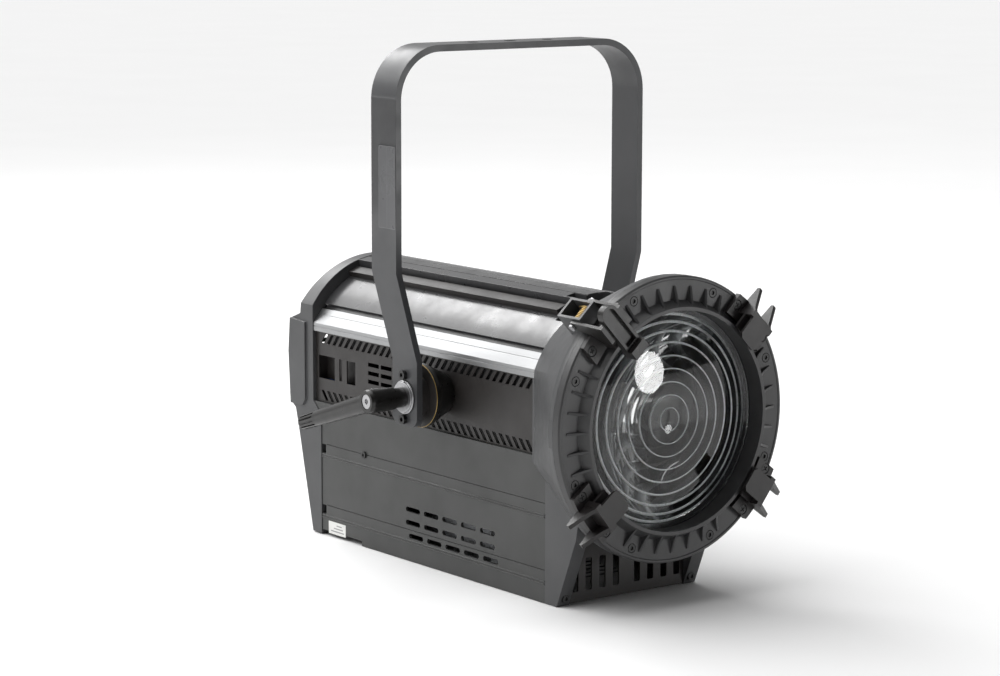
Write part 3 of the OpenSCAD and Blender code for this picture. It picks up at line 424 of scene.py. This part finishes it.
STRIP_X = (75.2 * MM, 75.8 * MM)   # just inside the vent panels
STRIP_Y = (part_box("vent_panel_left")[0].y + 1 * MM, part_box("vent_panel_left")[1].y - 16 * MM)
STRIP_Z = {"upper": (AXIS_H + 16.8 * MM, AXIS_H + 32 * MM), "lower": (AXIS_H - 37 * MM, AXIS_H - 22.5 * MM)}
for hand, strip_x in (("left", (-STRIP_X[1], -STRIP_X[0])), ("right", STRIP_X)):
    for row, strip_z in STRIP_Z.items():
        slab(f"{row}_baffle_{hand}", strip_x, STRIP_Y, strip_z, "head", MATERIALS["black_alu"])


# ---- Latch spring ----

def wire(name, points, radius, slot, body):
    """A round wire through the points."""
    curve = bpy.data.curves.new(name, "CURVE")
    curve.dimensions = "3D"
    curve.bevel_depth = radius
    curve.bevel_resolution = 2
    curve.use_fill_caps = True
    spline = curve.splines.new("POLY")
    spline.points.add(len(points) - 1)
    for point, spot in zip(spline.points, points):
        point.co = (*spot, 1)
    holder = bpy.data.objects.new(name + "_curve", curve)
    bpy.context.scene.collection.objects.link(holder)
    bpy.context.view_layer.update()
    shape = holder.evaluated_get(bpy.context.evaluated_depsgraph_get())
    mesh = bpy.data.meshes.new_from_object(shape)
    bpy.data.objects.remove(holder)
    for poly in mesh.polygons:
        poly.use_smooth = True
    mesh.materials.clear()
    mesh.materials.append(MATERIALS[slot])
    return add_object(name, mesh, body)


LATCH_ANGLE = math.radians(-43)
TANGENT = Vector((math.cos(LATCH_ANGLE), 0, -math.sin(LATCH_ANGLE)))
RADIAL = Vector((math.sin(LATCH_ANGLE), 0, math.cos(LATCH_ANGLE)))
BACKWARD = Vector((0, 1, 0))
LATCH_PIN = Vector((0, FLANGE_Y + 10 * MM, AXIS_H)) + RADIAL * 140 * MM
COIL_R, COIL_LEN, TURNS, POINTS_PER_TURN = 3.6 * MM, 13 * MM, 8, 24
WIRE_R = 0.62 * MM
COIL_POINTS = TURNS * POINTS_PER_TURN
coil = [LATCH_PIN + RADIAL * 1.5 * MM + BACKWARD * -8 * MM + TANGENT * -COIL_LEN / 2]
for k in range(COIL_POINTS + 1):
    turn = 2 * math.pi * k / POINTS_PER_TURN
    coil.append(LATCH_PIN + TANGENT * (k / COIL_POINTS - 0.5) * COIL_LEN
                + (BACKWARD * math.sin(turn) + RADIAL * math.cos(turn)) * COIL_R)
coil.append(coil[-1] + BACKWARD * 9 * MM - RADIAL * 2 * MM)
spring = wire("latch_coil", coil, WIRE_R, "brass", "head")
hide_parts("latch_spring")


# ---- Brass rims, labels ----

def ring_x(name, x, r_in, r_out, slot, body, segments=128):
    """A flat ring round the tilt axis, between the two places in x."""
    verts, faces = [], []
    for place, radius in ((x[0], r_in), (x[0], r_out), (x[1], r_out), (x[1], r_in)):
        for k in range(segments):
            angle = 2 * math.pi * k / segments
            verts.append((place, radius * math.cos(angle), AXIS_H + radius * math.sin(angle)))
    for side in range(4):
        a, b = side * segments, (side + 1) % 4 * segments
        for k in range(segments):
            n = (k + 1) % segments
            faces.append((a + k, a + n, b + n, b + k))
    mesh = add_mesh(name, verts, faces)
    mesh.materials.append(MATERIALS[slot])
    obj = add_object(name, mesh, body)
    round_edges(obj, 0.2 * MM)


DISC_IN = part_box("pivot_bosses")[1].x
RIM_X = (DISC_IN + 0.35 * MM, DISC_IN + 1.1 * MM)
for side, hand in ((-1, "left"), (1, "right")):
    ring_x("brass_rim_" + hand, [side * x for x in RIM_X], 29.6 * MM, 30.25 * MM, "brass", "yoke")


LABEL_GREY = powder_coat("label_grey", (0.085, 0.086, 0.09), 0.3, 0.05)
LABEL_LINE = powder_coat("label_line", (0.15, 0.15, 0.155), 0.4, 0.05)
STICKER_WHITE = powder_coat("sticker_white", (0.72, 0.72, 0.7), 0.45, 0.05)
STICKER_GREY = powder_coat("sticker_grey", (0.3, 0.3, 0.3), 0.5, 0.05)
LABEL_T, LINE_T, LINE_W = 0.08 * MM, 0.03 * MM, 0.4 * MM
LABEL_Y = (-18.5 * MM, 8 * MM)
LABEL_Z = (AXIS_H + 160 * MM, AXIS_H + 236 * MM)
EDGE_W = 0.5 * MM
ARM_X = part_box("yoke_bar")[0].x
LINE_X = (ARM_X - LABEL_T - LINE_T, ARM_X - LABEL_T)
slab("arm_label", (ARM_X - LABEL_T, ARM_X), LABEL_Y, LABEL_Z, "yoke", LABEL_GREY)
for k, z in enumerate((LABEL_Z[0], LABEL_Z[1] - EDGE_W)):
    slab(f"arm_label_edge_{k}", LINE_X, LABEL_Y, (z, z + EDGE_W), "yoke", LABEL_LINE)
for k, y in enumerate((-18.5 * MM, -5.5 * MM, 7.6 * MM)):
    slab(f"arm_label_rule_{k}", LINE_X, (y, y + LINE_W), LABEL_Z, "yoke", LABEL_LINE)

STICKER_T, BAR_T, BAR_H = 0.1 * MM, 0.02 * MM, 1.2 * MM
STICKER_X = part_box("lower_panel_left")[0].x + 0.7 * MM
BAR_X = (STICKER_X - STICKER_T - BAR_T, STICKER_X - STICKER_T)
slab("foot_sticker", (STICKER_X - STICKER_T, STICKER_X), (160 * MM, 190 * MM), (3.5 * MM, 16 * MM),
     "head", STICKER_WHITE)
for k in range(3):
    z = (6 + 3 * k) * MM
    slab(f"foot_sticker_bar_{k}", BAR_X, ((163 + 2 * k) * MM, (186 - 5 * k) * MM), (z, z + BAR_H),
         "head", STICKER_GREY)


# ---- Studio ----

CAMERA_AT = Vector((-1.6881, -2.2159, 0.6451))
CAMERA_RIGHT = Vector((0.7975, -0.6033, 0.0)).normalized()
CAMERA_BACK = Vector((-0.5963, -0.7882, 0.1521)).normalized()
CAMERA_UP = CAMERA_BACK.cross(CAMERA_RIGHT).normalized()
CAMERA_ROLL = math.radians(0.11)
camera = bpy.data.objects.new("camera", bpy.data.cameras.new("camera"))
camera.data.sensor_width = 36
camera.data.lens = 106.3
rotation = Matrix((CAMERA_RIGHT, CAMERA_UP, CAMERA_BACK)).transposed()
roll = Matrix.Rotation(CAMERA_ROLL, 4, "Z")
camera.matrix_world = Matrix.Translation(CAMERA_AT) @ rotation.to_4x4() @ roll
bpy.context.scene.collection.objects.link(camera)
bpy.context.scene.camera = camera
bpy.context.scene.view_settings.view_transform = "Standard"

floor_mesh = bpy.data.meshes.new("floor")
REACH = 30
corners = [(-REACH, -REACH, 0), (REACH, -REACH, 0), (REACH, REACH, 0), (-REACH, REACH, 0)]
floor_mesh.from_pydata(corners, [], [(0, 1, 2, 3)])
floor = bpy.data.objects.new("floor", floor_mesh)
bpy.context.scene.collection.objects.link(floor)
floor_mat, floor_tree, floor_shader, floor_place = node_material("floor")
shades = mix_colors(floor_tree, noise(floor_tree, floor_place, 3), (0.9, 0.9, 0.9), (0.93, 0.93, 0.93))
floor_tree.links.new(shades, floor_shader.inputs["Base Color"])
floor_shader.inputs["Roughness"].default_value = 0.9
floor_shader.inputs["Specular IOR Level"].default_value = 0.0
floor_mesh.materials.append(floor_mat)

world = bpy.data.worlds.new("studio")
world.use_nodes = True
background = world.node_tree.nodes["Background"]
background.inputs["Color"].default_value = (1, 1, 1, 1)
# the camera sees a white backdrop; as a light it is a bright wall behind the object and a dim room in front
direction = world.node_tree.nodes.new("ShaderNodeTexCoord")
parts = world.node_tree.nodes.new("ShaderNodeSeparateXYZ")
room = world.node_tree.nodes.new("ShaderNodeMapRange")
room.inputs["From Min"].default_value = -0.35
room.inputs["From Max"].default_value = 0.6
room.inputs["To Min"].default_value = 0.1
room.inputs["To Max"].default_value = 0.62
ray = world.node_tree.nodes.new("ShaderNodeLightPath")
level = world.node_tree.nodes.new("ShaderNodeMapRange")
level.inputs["To Max"].default_value = 1.0
world.node_tree.links.new(direction.outputs["Generated"], parts.inputs["Vector"])
world.node_tree.links.new(parts.outputs["Y"], room.inputs["Value"])
world.node_tree.links.new(room.outputs["Result"], level.inputs["To Min"])
world.node_tree.links.new(ray.outputs["Is Camera Ray"], level.inputs["Value"])
world.node_tree.links.new(level.outputs["Result"], background.inputs["Strength"])
bpy.context.scene.world = world


def soft_box(name, at, aim, size, power, disk=False):
    """An area lamp that looks at a point; a disk takes its diameter from the first size."""
    data = bpy.data.lights.new(name, "AREA")
    data.shape = "DISK" if disk else "RECTANGLE"
    data.size = size[0]
    if not disk:
        data.size_y = size[1]
    data.energy = power
    lamp = bpy.data.objects.new(name, data)
    lamp.location = at
    lamp.rotation_euler = (Vector(aim) - Vector(at)).to_track_quat("-Z", "Y").to_euler()
    bpy.context.scene.collection.objects.link(lamp)


sky = bpy.data.objects.new("sky", bpy.data.lights.new("sky", "SUN"))
sky.data.energy = 2.35
sky.data.angle = math.radians(70)
sky.rotation_euler = (Vector((0.35, -0.35, -1))).to_track_quat("-Z", "Y").to_euler()
bpy.context.scene.collection.objects.link(sky)
soft_box("back_left", (-1.25, 2.6, 1.95), (0, 0, 0.25), (1.6, 1.2), 16)
soft_box("back", (0.15, 2.5, 2.3), (0, 0.1, 0.25), (1.3, 0.7), 34)
soft_box("side_left", (-3.0, -0.2, 1.5), (0, 0, 0.2), (0.9, 1.6), 10)
soft_box("front", (1.17, -2.1, 0.25), (0, -0.24, 0.17), (0.4, 0.4), 6.5, disk=True)
